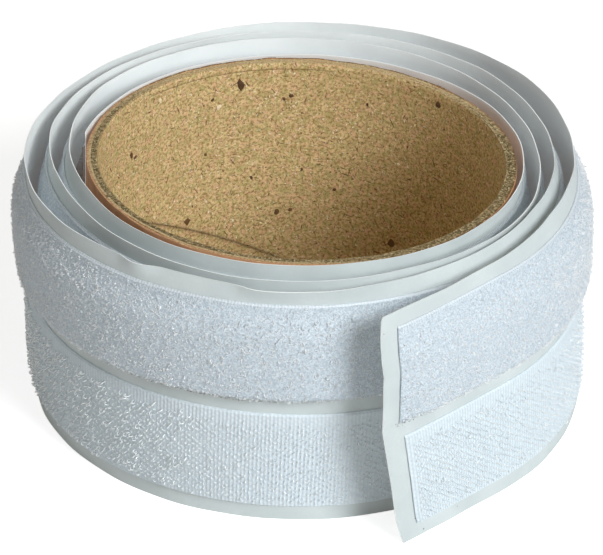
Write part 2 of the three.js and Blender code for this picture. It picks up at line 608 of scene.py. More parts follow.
@dataclass(frozen=True)
class SmoothKraft:
    """The core's outer wrap: a smooth orange-brown kraft with a slight calendered shine."""

    tone: Colour = srgb(214, 168, 128)
    brown: Colour = srgb(188, 140, 100)
    dark: Colour = srgb(118, 84, 54)

    def material(self) -> Material:
        """Builds the finish."""
        bench = Bench("smooth_kraft")
        mottle = bench.noise(bench.place(False), 300.0, 3.0)
        streaks = bench.noise(bench.place(True, 5.0, 8.0), 1500.0)
        colour = bench.mix(bench.between(mottle, 0.3, 0.7), self.tone, self.brown)
        colour = bench.mix(bench.between(streaks, 0.62, 0.7, 0.0, 0.5), colour, self.dark)
        rough = bench.between(mottle, 0.3, 0.7, 0.5, 0.62)
        bench.set(base_color=colour, roughness=rough, specular_ior_level=0.35)
        bench.bump(streaks, 0.2, 0.06 * MM)
        return bench.material


@dataclass(frozen=True)
class CutBoard:
    """The sawn end of a ply: packed fibres, with dark olive grit and bright specks where the saw tore it."""

    name: str
    tone: Colour
    brown: Colour
    dark: Colour = srgb(88, 76, 44)
    pale: Colour = srgb(232, 216, 166)

    def material(self) -> Material:
        """Builds the finish: the shade that the mesh carries is how much grit there is, and on the outer ply
        at the back painted shade.
        """
        bench = Bench(self.name)
        plain = bench.place(False)
        grit = bench.noise(plain, 1500.0, 3.0, 0.7)
        grit_and_shade = bench.sums("ADD", grit, bench.between(bench.shade(), 0.0, 1.0, -0.25, 0.07))
        colour = self.tone
        for pattern, low, high, most, over in (
            (bench.noise(plain, 2900.0), 0.4, 0.62, 1.0, self.brown),
            # Grit, and on the outer ply at the back painted shade of the gap between the core and the liner.
            (bench.shade(), 0.4, 1.0, 0.5, self.dark),
            (grit_and_shade, 0.49, 0.59, 0.85, self.dark),
            (bench.noise(plain, 2300.0, 1.0), 0.61, 0.66, 0.95, self.pale),
        ):
            colour = bench.mix(bench.between(pattern, low, high, 0.0, most), colour, over)
        bench.set(base_color=colour, roughness=0.92, specular_ior_level=0.2)
        bench.bump(grit, 0.8, 0.22 * MM)
        return bench.material


@dataclass(frozen=True)
class Fleck:
    """Specks: bark and ink in the recycled paper, or grime on the tape."""

    name: str
    dark: Colour
    light: Colour

    def material(self) -> Material:
        """Builds the finish."""
        bench = Bench(self.name)
        grain = bench.noise(bench.place(False), 2400.0)
        colour = bench.mix(bench.shade(), self.dark, self.light)
        colour = bench.mix(bench.between(grain, 0.4, 0.7, 0.0, 0.5), colour, self.light)
        bench.set(base_color=colour, roughness=0.85)
        bench.bump(grain, 0.5, 0.05 * MM)
        return bench.material


# The tape's path


@dataclass(frozen=True)
class Curve:
    """A smooth line through given values: straight runs between the knots, blurred by a bell curve."""

    knots: tuple[tuple[float, float], ...]
    blur: float

    def at(self, turn: Array) -> Array:
        """The line's value at some turns, in metres where the knots are in millimetres."""
        turns, values = np.array(self.knots).T
        fine = np.linspace(turns[0] - 0.3, turns[-1] + 0.3, 4000)
        step = fine[1] - fine[0]
        half = int(4 * self.blur / step)
        bell = np.exp(-0.5 * (np.arange(-half, half + 1) * step / self.blur) ** 2)
        padded = np.pad(np.interp(fine, turns, values), half, mode="edge")
        return np.interp(turn, fine, np.convolve(padded, bell / bell.sum(), mode="valid")) * MM


@dataclass(frozen=True)
class TapePath:
    """Where the tape runs.

    The liner's inner face lies at a distance from the core's axis that grows by one pitch a turn, from the
    snug first half turn outwards. To it come the slack at the back and at the front left, three waves, and
    the spring of the cut end. The lower edge is displaced by flare, the bare upper margin leans by lip, and
    the outer turn is bowed between the edges of each strip. The cut gives, for each height, how far the end
    is cut back.
    """

    axis: tuple[float, float]
    core_radius: float = 40.75 * MM
    fit: float = 0.4 * MM
    pitch: float = 2.8 * MM
    turns: float = 3.647
    inner_end: float = math.radians(157)
    snug: float = 0.55
    back_slack: float = 6.15 * MM
    back_share: float = 0.57
    back_angle: float = math.radians(87)
    back_power: float = 3.5
    front_slack: float = 1.1 * MM
    front_angle: float = math.radians(228)
    front_power: float = 3.2
    spring: float = 7.9 * MM
    spring_share: float = 0.088
    waves: tuple[tuple[float, float, float], ...] = (
        (1.395, 0.087, -1.1 * MM),
        (1.85, 0.08, -1.65 * MM),
        (3.285, 0.09, 3.5 * MM),
    )
    width: float = 49.0 * MM
    margin: float = 3.0 * MM
    strip: float = 20.0 * MM
    lead: float = 0.042
    lead_rise: float = 0.35 * MM
    slant_share: float = 0.09
    end_radius: float = 55.0 * MM
    loop_bow: float = 0.4 * MM
    hook_bow: float = 0.15 * MM
    nudge: float = 2e-5
    free_from: float = 2.60
    free_over: float = 0.10
    flare: Curve = Curve(
        (
            (1.55, 0.0), (1.65, -0.9), (1.75, -0.9), (1.85, -0.4), (2.0, 0.0), (2.3, 0.3), (2.45, 0.6),
            (2.55, 0.4), (2.65, -0.6), (2.75, -1.8), (2.84, -2.3), (2.92, -1.7), (3.05, -0.8), (3.18, 0.4),
            (3.3, 2.2), (3.43, 4.2), (3.5, 3.3), (3.55, 2.9), (3.6, 2.2), (3.65, 1.9),
        ),
        0.025,
    )
    lip: Curve = Curve(
        (
            (-0.042, 0.0), (0.0, -0.1), (0.144, -0.5),
            (0.181, -0.5), (0.258, -0.35), (0.333, 0.4), (0.389, 0.6),
            (0.456, 0.1), (0.522, -0.1), (0.59, -0.2), (0.642, -0.3), (0.711, -0.05), (0.775, -0.35),
            (0.869, -1.6), (0.947, -0.65), (1.025, 0.6), (1.114, 0.35), (1.269, -0.15), (1.339, -0.2),
            (1.392, 0.0), (1.467, -0.1), (1.511, 0.0), (1.583, -0.35), (1.622, -0.45), (1.656, 0.5),
            (1.714, 0.65), (1.781, 0.0), (1.867, -0.5), (1.917, -0.5), (1.969, 0.15), (2.036, -0.1),
            (2.119, -0.6), (2.3, 0.8), (2.344, -0.1), (2.403, -0.8), (2.464, -1.6), (2.5, -2.1),
            (2.531, -1.9), (2.589, -1.3), (2.625, -0.6), (2.644, -0.2), (2.667, 0.6), (2.689, 0.9),
            (2.711, 0.7), (2.717, -0.5), (2.742, -1.3), (2.762, -1.3), (2.769, -1.4),
            (2.7735, 0.1), (2.785, 0.2), (2.789, -1.0),
            (2.8, -0.75), (2.833, -0.2), (2.936, 0.25), (3.019, -0.35),
            (3.081, -0.7), (3.122, -0.4), (3.164, 0.3), (3.206, 0.0), (3.261, -0.4), (3.303, -0.3),
            (3.342, 0.0), (3.378, 0.0), (3.406, -0.2), (3.436, -0.4), (3.456, -0.8), (3.481, -1.25),
            (3.5, -1.45), (3.528, -1.1), (3.561, -0.2), (3.6, 0.1), (3.636, -0.3), (3.65, 0.0),
        ),
        0.004,
    )
    cut: tuple[tuple[float, float], ...] = (
        (0.0, 6.3), (0.7, 6.1), (3.9, 5.0), (6.3, 4.4),
        (10.8, 3.65), (15.3, 2.95), (17.5, 2.5), (21.9, 1.75),
        (25.4, 1.1), (30.4, 1.05), (33.6, 0.85), (36.6, 0.9),
        (40.7, 0.3), (44.7, 0.0), (48.3, 0.0), (49.0, 0.35),
    )

    def radius(self, turn: Array, angle: Array) -> Array:
        """The liner's distance from the axis at mid width, as the class says.

        Args:
            turn: turns from the inner end.
            angle: the angle round the axis there.

        Returns:
            The distance.
        """
        climbed = np.where(turn < 1.0, np.maximum(0.0, (turn - self.snug) / (1.0 - self.snug)), turn)
        back = ((1.0 + np.cos(angle - self.back_angle)) / 2.0) ** self.back_power
        front = ((1.0 + np.cos(angle - self.front_angle)) / 2.0) ** self.front_power
        out = self.core_radius + self.fit + self.pitch * climbed
        out = out + self.back_slack * (1.0 - np.exp(-turn / self.back_share)) * back
        out = out + self.front_slack * climbed * front
        for at, spread, rise in self.waves:
            out = out + rise * np.exp(-(((turn - at) / spread) ** 2))
        sprung = np.maximum(0.0, turn - self.turns + self.spring_share) / self.spring_share
        started = np.maximum(0.0, -turn) / self.lead
        return out + self.spring * sprung**2 + self.lead_rise * started**1.5

    def outermost(self, turn: Array) -> Array:
        """0 where another turn lies outside this one, and 1 where the tape's outer side is free."""
        return smooth_step((turn - self.free_from) / self.free_over)

    def foot(self, turn: Array, height: Array) -> Array:
        """Points of the liner's inner face: the radius, and what the class adds to it, out from the axis.

        Args:
            turn: turns from the inner end.
            height: distance up the tape from its lower edge.

        Returns:
            Points, with x, y and z along the last axis.
        """
        turn, height = np.broadcast_arrays(turn, height)
        levels, depths = np.array(self.cut).T * MM
        near_end = smooth_step((turn - self.turns + self.slant_share) / self.slant_share)
        turn = turn - np.interp(height, levels, depths) / (ROUND * self.end_radius) * near_end
        angle = self.inner_end - ROUND * turn
        leaning = self.margin + 0.5 * MM
        edge = np.clip((height - (self.width - leaning)) / leaning, 0.0, 1.1)
        strip = (height - self.margin) % (self.strip + self.margin) / self.strip
        crown = np.where(strip < 1.0, np.sin(math.pi * np.clip(strip, 0.0, 1.0)) ** 2, 0.0)
        bow = np.where(height > self.width / 2.0, self.loop_bow, self.hook_bow) * self.outermost(turn) * crown
        lip = self.lip.at(turn)
        gentle = smooth_step(lip / (0.3 * MM)) * (1.0 - self.outermost(turn))
        lean = edge**1.4 * (1.0 - gentle) + np.clip(height / self.width, 0.0, 1.0) ** 2 * gentle
        out = self.radius(turn, angle) + self.flare.at(turn) * (1.0 - height / self.width) + lip * lean + bow
        return np.stack([self.axis[0] + out * np.cos(angle), self.axis[1] + out * np.sin(angle), height], -1)

    def frame(self, turn: Array, height: Array) -> Frame:
        """The tape's point and its three directions there, by small differences of foot.

        Args:
            turn: turns from the inner end.
            height: distance up the tape.

        Returns:
            The point, and the unit vectors along the tape, up it, and away from the core.
        """
        turn, height = np.broadcast_arrays(turn, height)
        along = unit(self.foot(turn + self.nudge, height) - self.foot(turn - self.nudge, height))
        up = unit(self.foot(turn, height + self.nudge) - self.foot(turn, height - self.nudge))
        return self.foot(turn, height), along, up, unit(np.cross(up, along))

    def off(self, turn: Array, height: Array, away: Array) -> Array:
        """A point at a distance off the liner's inner face, square to the tape."""
        here, _, _, out = self.frame(turn, height)
        return here + out * np.asarray(away)[..., None]

    def lengths(self) -> tuple[Array, Array]:
        """Turns and the length of tape up to each, along mid height."""
        turn = np.linspace(-self.lead, self.turns, 6000)
        steps = np.linalg.norm(np.diff(self.foot(turn, self.width / 2.0), axis=0), axis=1)
        return turn, np.concatenate([[0.0], np.cumsum(steps)])

    def length_at(self, turn: Array | float) -> Array | float:
        """The length of tape up to some turns."""
        return np.interp(turn, *self.lengths())

    def turn_at(self, length: Array | float) -> Array | float:
        """The turns at some lengths of tape."""
        turn, run = self.lengths()
        return np.interp(length, run, turn)

    def stations(self, start: float, end: float, step: float) -> Array:
        """Turns from start to end, evenly spaced along the tape by about step."""
        low, high = self.length_at(start), self.length_at(end)
        return self.turn_at(np.linspace(low, high, max(2, int(round((high - low) / step)) + 1)))


# The tape's layers


class Strip(Enum):
    """The two fabric strips on the liner, by the height of their lower edges."""

    HOOK = 3.0 * MM
    LOOP = 26.0 * MM


class Stretch(Enum):
    """The stretch that stays wound and the one that lifts, by how the names of their pieces end."""

    WOUND = ""
    FREE = "_end"


@dataclass
class TapeLayers:
    """The liner and, on it, the glue, the ground cloth, the pile and the hooks of both strips."""

    path: TapePath
    liner: float = 0.2 * MM
    glue: float = 0.15 * MM
    ground: float = 0.4 * MM
    strip: float = 20.0 * MM
    tabs: dict[Strip, float] = field(default_factory=lambda: {Strip.LOOP: 3.75 * MM, Strip.HOOK: 4.7 * MM})
    cords: dict[Strip, float] = field(default_factory=lambda: {Strip.LOOP: 0.58 * MM, Strip.HOOK: 0.705 * MM})
    pile: float = 1.6 * MM
    free_pile: float = 2.6 * MM
    hooks: float = 0.44 * MM
    cord_depth: float = 0.065 * MM
    split: float = 3.40
    hinge: float = 3.55
    outer_from: float = 2.58
    bend: float = 9.0 * MM
    hook_gap: float = 1.2 * MM
    cut_fade: float = 1.2 * MM
    coarse: float = 1.4 * MM
    loop_points: int = 4
    shaded_ruffle_from: float = 2.73
    shaded_ruffle_to: float = 3.03
    shaded_ruffle_fade: float = 0.05

    def strip_end(self, strip: Strip) -> float:
        """The turn at which a strip is cut, a tab's length before the liner's end."""
        return float(self.path.turn_at(self.path.length_at(self.path.turns) - self.tabs[strip]))

    def left(self, strip: Strip, turns: Array) -> Array:
        """The length of tape from some turns to a strip's cut."""
        return self.path.length_at(self.strip_end(strip)) - self.path.length_at(turns)

    def stations(self, stretch: Stretch, end: float, wound_step: float, free_step: float) -> Array:
        """The stations of a stretch: from the tape's lead to the split, or from there to a given end."""
        if stretch is Stretch.WOUND:
            return self.path.stations(-self.path.lead, self.split, wound_step)
        return self.path.stations(self.split, end, free_step)

    def fit(
        self,
        skin: Skin,
        name: str,
        slot: str,
        stretch: Stretch,
        finishes: list[Material],
        crease: float | None = None,
        node: str | None = None,
    ) -> Piece:
        """Makes a piece of the tape and puts it on the winding, or, in the free end, bakes its place into its
        mesh.

        Args:
            skin: its faces.
            name: its name.
            slot: the record's material slot; not used.
            stretch: which stretch of the tape it is in.
            finishes: its materials.
            crease: as Skin.piece has it.
            node: the node that it replaces, by its name in the wound stretch.

        Returns:
            The piece.
        """
        piece = skin.piece(name, finishes, crease)
        if node is not None:
            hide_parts(node if stretch is Stretch.WOUND else node + "_free_end")
        if stretch is Stretch.WOUND:
            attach(piece, "winding")
        else:
            middle = self.path.length_at(self.hinge)
            turns = self.path.turn_at(np.array([middle - self.bend, middle + self.bend]))
            start, end = self.path.off(turns, self.path.width / 2, self.liner)
            tuple(start)
            tuple(end)
            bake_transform(piece)
        return piece

    def shell(self, turns: Array, low: Array, inner: Array | float, outer: Array | float) -> Skin:
        """A layer of the tape as one closed skin: at each station, points go up inside and down outside.

        Args:
            turns: the stations.
            low: heights of the rows, from the lower edge up.
            inner: how far each inner point is off the liner's inner face, stations by rows.
            outer: the same for the outer points.

        Returns:
            The skin, with the length of tape and the height as its map.
        """
        size = len(turns), len(low)
        heights = np.concatenate([low, low[::-1]])[None, :]
        away = np.concatenate([np.broadcast_to(inner, size), np.broadcast_to(outer, size)[:, ::-1]], 1)
        corners = self.path.off(turns[:, None], heights, away).reshape(-1, 3)
        flat = np.stack(np.broadcast_arrays(self.path.length_at(turns)[:, None], heights), -1).reshape(-1, 2)
        return Skin(corners, band_faces(size[0], 2 * size[1]), flat=flat)

    def liner_piece(self, stretch: Stretch, papers: list[Material]) -> None:
        """The release liner: a thin band with rippled margins and bright cut edges.

        Args:
            stretch: which stretch of the tape.
            papers: the finishes of its inner face, its outer face and its cut edges.
        """
        turns = self.stations(stretch, self.path.turns, 0.9 * MM, 0.7 * MM)
        margin = [45, 46, 46.6, 47.2, 47.8, 48.4, 49]
        body = [3, 6, 10, 14, 18, 22, 23.5, 25.5, 28, 31, 34, 37, 40, 43]
        low = np.array([0, 0.6, 1.4, 2.3, *body, *margin]) * MM
        w, rows = self.path.width, len(low)
        run = self.path.length_at(turns)[:, None]
        rippled = 2.6 * MM
        near_edge = np.clip((np.abs(low[None, :] - w / 2) - (w / 2 - rippled)) / rippled, 0, 1)
        short = np.sin(run / (3.1 * MM)) * np.sin(run / (7.7 * MM))
        wave = short + 0.7 * np.sin(run / (11.3 * MM) + low * 900)
        ripple = 0.10 * MM * near_edge * wave
        thick = self.liner * (0.9 + 0.1 * smooth_step(np.minimum(low, w - low) / (1.2 * MM)))
        skin = self.shell(turns, low, ripple, ripple + thick)
        column = np.arange(2 * rows)
        slot = np.where(column % rows == rows - 1, 2, column // rows)
        skin.slots = np.concatenate([np.tile(slot, len(turns) - 1), np.full(2 * (rows - 1), 2)])
        name = "release_liner" + ("_wound" if stretch is Stretch.WOUND else "_end")
        piece = self.fit(skin, name, "release_paper", stretch, papers, crease=40.0, node="release_liner")

    def film_piece(self, strip: Strip, stretch: Stretch, glue: Material) -> None:
        """The adhesive film under a strip.

        Args:
            strip: which strip.
            stretch: which stretch of the tape.
            glue: its finish.
        """
        turns = self.stations(stretch, self.strip_end(strip) - 0.001, 1.6 * MM, 1.0 * MM)
        low = strip.value + np.linspace(0.35 * MM, self.strip - 0.35 * MM, 6)
        skin = self.shell(turns, low, self.liner, self.liner + self.glue)
        node = f"{strip.name.lower()}_adhesive"
        name = f"{node}_film{stretch.value}"
        self.fit(skin, name, "clear_adhesive", stretch, [glue], crease=40.0, node=node)

    def ground_piece(self, strip: Strip, stretch: Stretch, cloth: Material) -> None:
        """The woven ground of a strip, with cords across it where it can be seen.

        The outer face stands at the ground's thickness plus the cord's depth times the cosine of the length
        over the cord's pitch, fading to the two side edges and to the cut. The shade it carries follows the
        same cosine as painted shade in the valleys, lightens the hook strip's side edges as a painted
        highlight, and darkens the hook strip at the front left as painted shade.

        Args:
            strip: which strip.
            stretch: which stretch of the tape.
            cloth: its finish.
        """
        cord = self.cords[strip]
        if stretch is Stretch.WOUND:
            inner = self.path.stations(-self.path.lead, self.outer_from, self.coarse)
            turns = np.concatenate([inner[:-1], self.path.stations(self.outer_from, self.split, cord / 4)])
        else:
            turns = self.path.stations(self.split, self.strip_end(strip), cord / 4)
        low = strip.value + np.array([0, 0.12, 0.32, 0.9, 2.6, 10, 17.5, 19.1, 19.68, 19.88, 20]) * MM
        run = self.path.length_at(turns)[:, None]
        side = np.minimum(low - low[0], low[-1] - low)[None, :]
        wave = np.cos(ROUND * run / cord) * self.path.outermost(turns)[:, None]
        sunk = 0.015 * MM
        under = self.liner + sunk + (self.glue - sunk) * smooth_step((side - 0.1 * MM) / (0.2 * MM))
        inset = smooth_step(side / (0.4 * MM))
        ending = 0.4 + 0.6 * smooth_step(self.left(strip, turns)[:, None] / self.cut_fade)
        thick = (self.ground * (0.6 + 0.4 * inset) + self.cord_depth * wave * (0.5 + 0.5 * inset)) * ending
        skin = self.shell(turns, low, under, under + thick)
        # Painted shade in the cords' valleys by the cosine, and a painted highlight along the hook strip's
        # side edges.
        edge_highlight = 0.0 if strip is Strip.LOOP else 0.9
        shade = np.maximum(0.5 + 0.5 * wave, edge_highlight * (1.0 - smooth_step((side - 0.05 * MM) / (0.15 * MM))))
        # Painted shade: the hook strip's ground is darker at the front left.
        if strip is Strip.HOOK:
            shade = shade * (1.0 - 0.5 * self.ruffled_and_shaded(turns)[:, None])
        skin.shade = np.concatenate([shade, shade[:, ::-1]], 1).ravel()
        node = f"{strip.name.lower()}_ground"
        name = f"{node}_cloth{stretch.value}"
        piece = self.fit(skin, name, "woven_ground", stretch, [cloth], crease=40.0, node=node)

    def standing(self, turns: Array, heights: Array) -> Array:
        """How much of the pile stands at a place of the loop strip, from 0 to 1.

        It thins out towards the strip's upper and lower sides, and was flattened where the tape was cut.

        Args:
            turns: turns from the inner end.
            heights: heights up the tape.

        Returns:
            The share.
        """
        below = heights - Strip.LOOP.value
        above = self.strip - below
        sides = smooth_step((above - 0.4 * MM) / (6.0 * MM)) * smooth_step((below + 0.2 * MM) / (1.9 * MM))
        return sides * smooth_step((self.left(Strip.LOOP, turns) + 0.6 * MM) / (7.5 * MM))

    def pile_height(self, turns: Array) -> Array:
        """The height of the loops over the ground: pressed flat between turns, standing where free."""
        return self.pile + (self.free_pile - self.pile) * self.path.outermost(turns)

    def bed(self, turns: Array, low: Array, bumps: Array, share: float) -> Skin:
        """A stretch of the bed: from its foot, sunk in the ground, to a share of the pile's height, rumpled.

        Args:
            turns: the stations.
            low: heights of the rows.
            bumps: the rumples, stations by rows.
            share: how much of the pile's height it fills.

        Returns:
            The skin.
        """
        ending = smooth_step(self.left(Strip.LOOP, turns) / self.cut_fade)[:, None]
        foot = self.liner + self.glue + 0.04 * MM + (self.ground - 0.20 * MM) * ending
        rise = share * self.pile_height(turns)[:, None] + 0.02 * MM * bumps
        top = foot + 0.18 * MM + rise * self.standing(turns[:, None], low[None, :])
        return self.shell(turns, low, foot, top)

    def bed_piece(self, stretch: Stretch, wool: Material) -> None:
        """The thick of the loop pile as one rumpled layer, let down at its sides.

        Args:
            stretch: which stretch of the tape.
            wool: its finish.
        """
        fine, rows = 0.45 * MM, 40
        outer = self.path.stations(self.outer_from, self.strip_end(Strip.LOOP) - 0.00005, fine)
        cut = int(np.searchsorted(outer, self.split))
        outer[cut] = self.split
        low = Strip.LOOP.value + np.linspace(0.3 * MM, self.strip - 0.3 * MM, rows)
        rumple = cloud(len(outer), rows, (fine, float(low[1] - low[0])), 0.45 * MM, 11)
        part = slice(0, cut + 1) if stretch is Stretch.WOUND else slice(cut, None)
        skin = self.bed(outer[part], low, rumple[part], 0.72)
        if stretch is Stretch.WOUND:
            picked = np.linspace(0, rows - 1, 16).round().astype(int)
            turns = self.path.stations(-self.path.lead, self.outer_from, self.coarse)
            soft = cloud(len(turns), rows, (self.coarse, 0.5 * MM), 0.9 * MM, 13)[:, picked]
            skin = skin.joined(self.bed(turns, low[picked], soft, 0.86))
        name = "loop_pile_bed" + stretch.value
        self.fit(skin, name, "white_pile", stretch, [wool], crease=60.0, node="loop_pile")

    def stalks(self, places: Trio, shape: Trio, thick: Array, shade: Array, corners: int) -> Skin:
        """Threads that stand on the tape: from a point of the liner by away, reach and sway.

        Args:
            places: for each thread its turn, its height and its heading from the tape's run.
            shape: away, reach and sway, threads by points.
            thick: the thickness of each thread.
            shade: a number for each thread.
            corners: corners of a thread's ring.

        Returns:
            The skin.
        """
        turns, heights, heading = places
        here, along, up, out = self.path.frame(turns, heights)
        across = along * np.cos(heading)[:, None] + up * np.sin(heading)[:, None]
        side = np.cross(out, across)
        path = here[:, None]
        for direction, way in zip((out, across, side), shape):
            path = path + direction[:, None] * way[..., None]
        return filaments(path, side, thick, corners, np.clip(shade, 0.0, 1.0))

    def stretch_of(self, end: float) -> Stretch:
        """The stretch of a piece that ends at some turns."""
        return Stretch.WOUND if end <= self.split else Stretch.FREE

    def loop_piece(
        self, name: str, start: float, end: float, density: float, seed: int, yarn: Material
    ) -> None:
        """A field of standing loops.

        A loop leaves the ground at one point and comes back at another: along its heading it goes from minus
        to plus half its span, pinched at the foot, it rises by a power of the sine of the share, and its
        crown leans over.

        Args:
            name: the piece's name.
            start: the turn at which the field starts.
            end: the turn at which it ends.
            density: loops to each square millimetre.
            seed: what the places and sizes are drawn from.
            yarn: the finish.
        """
        draw = np.random.default_rng(seed)
        first, last = self.path.length_at(start), self.path.length_at(end)
        count = int(density * (last - first) * (self.strip - 0.8 * MM) / MM**2)
        turns = self.path.turn_at(draw.uniform(first, last, count))
        heights = Strip.LOOP.value + draw.uniform(0.4 * MM, self.strip - 0.4 * MM, count)
        stands = self.standing(turns, heights)
        kept = draw.uniform(0.0, 1.0, count) < 0.15 + 1.2 * stands
        turns, heights, stands = turns[kept], heights[kept], stands[kept]
        count = len(turns)
        heading = draw.uniform(0.0, ROUND, count)
        span = draw.uniform(0.35, 1.05, count) * MM
        lean = draw.normal(0.0, 0.3, (count, 2)) * MM * (0.4 + 0.6 * stands[:, None])
        proud = draw.uniform(0.0, 1.0, count) < 0.07
        tall = self.pile_height(turns) * (0.17 + 0.83 * stands)
        tall = tall * (0.79 + 0.27 * draw.beta(1.2, 2.8, count) + 0.10 * proud)
        share = np.linspace(0.0, 1.0, self.loop_points)[None, :]
        arch = np.sin(math.pi * share) ** 0.75
        away = self.liner + self.glue + self.ground - 0.1 * MM + arch * tall[:, None]
        reach = (share - 0.5) * span[:, None] * (0.5 + 0.9 * arch) + lean[:, :1] * arch
        thick = (draw.uniform(0.085, 0.14, count) + 0.04 * proud) * MM
        shade = draw.normal(0.6, 0.4, count)
        skin = self.stalks((turns, heights, heading), (away, reach, lean[:, 1:] * arch), thick, shade, 3)
        self.fit(skin, name, "white_pile", self.stretch_of(end), [yarn])

    def ruffled_and_shaded(self, turns: Array) -> Array:
        """1 at the front left, where the hooks were brushed up and the hook strip's ground takes painted
        shade, and 0 elsewhere.
        """
        started = smooth_step((turns - self.shaded_ruffle_from) / self.shaded_ruffle_fade)
        return started * smooth_step((self.shaded_ruffle_to - turns) / self.shaded_ruffle_fade)

    def hook_piece(
        self,
        name: str,
        start: float,
        end: float,
        seed: int,
        nylon: Material,
        inner: bool = False,
        node: str | None = None,
    ) -> None:
        """Rows of hooks, set as in a satin weave.

        Hooks stand in lines across the tape, one line to each cord, a gap apart, and each line is set three
        eighths of a gap above the one before. A hook rises from its foot, curls over and ends cut short,
        like a walking stick, and heads on a slant. The field's upper side is a saw's edge with a tooth to
        eight cords, and the two hooks at the tip of a tooth are the largest. More of the hooks stand out
        at the front left, where the hooks were brushed up. The bolder a hook, the lighter its colour: a
        painted highlight.

        Args:
            name: the piece's name.
            start: the turn at which the rows start.
            end: the turn at which they end.
            seed: what the small differences are drawn from.
            nylon: the finish.
            inner: whether they are between turns, where fewer and plainer ones do.
            node: the node that the piece replaces.
        """
        gap = 3.8 * MM if inner else self.hook_gap
        draw = np.random.default_rng(seed)
        cord = self.cords[Strip.HOOK]
        first, last = self.path.length_at(start), self.path.length_at(end)
        lines = np.arange(math.ceil(first / cord), math.floor(last / cord))
        steps = np.arange(-1, int(self.strip / gap) + 1)
        line, step = (grid.ravel() for grid in np.meshgrid(lines, steps, indexing="ij"))
        above = (step + (line * 3 % 8) / 8.0) * gap
        highest = self.strip - 2.0 * MM - 1.1 * MM * (line % 8) / 8.0
        kept = (above > 1.0 * MM) & (above < highest)
        line, step, above, highest = line[kept], step[kept], above[kept], highest[kept]
        count = len(line)
        tip = (line % 8 < 2) & (highest - above < gap)
        heights = Strip.HOOK.value + above + draw.normal(0, 0.13 * MM, count)
        turns = self.path.turn_at(line * cord + draw.normal(0, 0.06 * MM, count))
        flip = np.where((line // 2 + step) % 2 == 0, 0.0, math.pi)
        heading = math.radians(110.0) + flip + draw.normal(0, 0.8, count)
        ruffled_and_shaded = self.ruffled_and_shaded(turns)
        some = draw.uniform(0.0, 1.0, count) < 0.02 + 0.40 * ruffled_and_shaded
        bold = np.maximum(tip * (0.1 + 0.9 * ruffled_and_shaded), some * 0.6)
        span = draw.normal(0.48, 0.05, count) * MM * (1.0 + 1.2 * bold)
        tall = self.hooks * (draw.normal(0.95, 0.08, count) + 1.35 * bold)
        lean = draw.normal(0.0, 0.06, count) * MM
        stick = np.array(
            [(-0.3, -0.1), (-0.38, 0.45), (-0.25, 0.86), (0.06, 1.0), (0.36, 0.84), (0.42, 0.5), (0.24, 0.32)]
        )
        if inner:
            stick = stick[[0, 2, 3, 4, 5]]
        over, rise = stick.T[:, None, :]
        away = self.liner + self.glue + self.ground + rise * tall[:, None]
        reach = over * span[:, None] + lean[:, None] * rise
        # Painted highlight: the bolder a hook, the lighter it is painted, for its glint where it catches the
        # light.
        shade = draw.normal(0.7, 0.25, count) + 0.5 * bold
        thick = (0.17 + 0.08 * bold) * MM
        shape = (away, reach, np.zeros_like(reach))
        skin = self.stalks((turns, heights, heading), shape, thick, shade, 3 if inner else 4)
        self.fit(skin, name, "nylon_hooks", self.stretch_of(end), [nylon], node=node)

    def grime_piece(self, name: str, spots: list[Array] | Array, seed: int, dirt: Material) -> None:
        """Specks of grime on the tape.

        Args:
            name: the piece's name.
            spots: for each speck its turn, height, distance off the liner's inner face and size.
            seed: what their shapes are drawn from.
            dirt: the finish.
        """
        turns, heights, away, size = spots
        here, along, up, out = self.path.frame(turns, heights)
        slim = np.random.default_rng(seed).uniform(0.4, 0.9, len(size))
        skin = flakes((here + out * away[:, None], along, up, out), size, slim, 0.04 * MM, seed + 1)
        self.fit(skin, name, "release_paper", self.stretch_of(turns.max()), [dirt])

    def grime(self) -> None:
        """A dirty line under the loop strip in front, a smudge and dots at the cut end, and specks."""
        draw = np.random.default_rng(81)
        dirt = Fleck("grime", srgb(84, 80, 74), srgb(150, 146, 140)).material()
        edge = Strip.LOOP.value
        count = 130
        turns = 2.69 + 0.12 * draw.beta(1.3, 1.6, count)
        heights = edge + draw.normal(0.15, 0.12, count) * MM
        line = [turns, heights, np.full(count, 1.3 * MM), draw.uniform(0.05, 0.15, count) * MM]
        self.grime_piece("grime_line", line, 82, dirt)
        count = 34
        cut = self.strip_end(Strip.LOOP)
        turns = self.path.turn_at(self.path.length_at(cut) + draw.normal(-0.6, 1.0, count) * MM)
        heights = edge + draw.normal(0.1, 0.9, count) * MM
        on_strip = (turns < cut) & (heights > edge)
        away = self.liner + on_strip * (self.glue + self.ground + 0.3 * MM)
        smudge = np.stack([turns, heights, away, draw.uniform(0.05, 0.16, count) * MM])
        dots = np.array([
            (3.6455, 45.7, 0.2, 0.12), (3.6360, 4.2, 0.2, 0.13),
            (3.6322, 1.0, 0.2, 0.2), (3.6, 2.0, 0.2, 0.1),
        ])
        dots[:, 1:] *= MM
        self.grime_piece("grime_smudge", np.concatenate([smudge, dots.T], 1), 84, dirt)
        count = 46
        margin = draw.integers(0, 3, count)
        bare = ((0.4, 2.8), (23.3, 25.8), (46.3, 48.7))
        level = np.choose(margin, [draw.uniform(low, high, count) for low, high in bare])
        turns = draw.uniform(1.6, 3.36, count)
        stray = [turns, level * MM, np.full(count, self.liner), draw.uniform(0.03, 0.08, count) * MM]
        self.grime_piece("grime_specks", stray, 86, dirt)

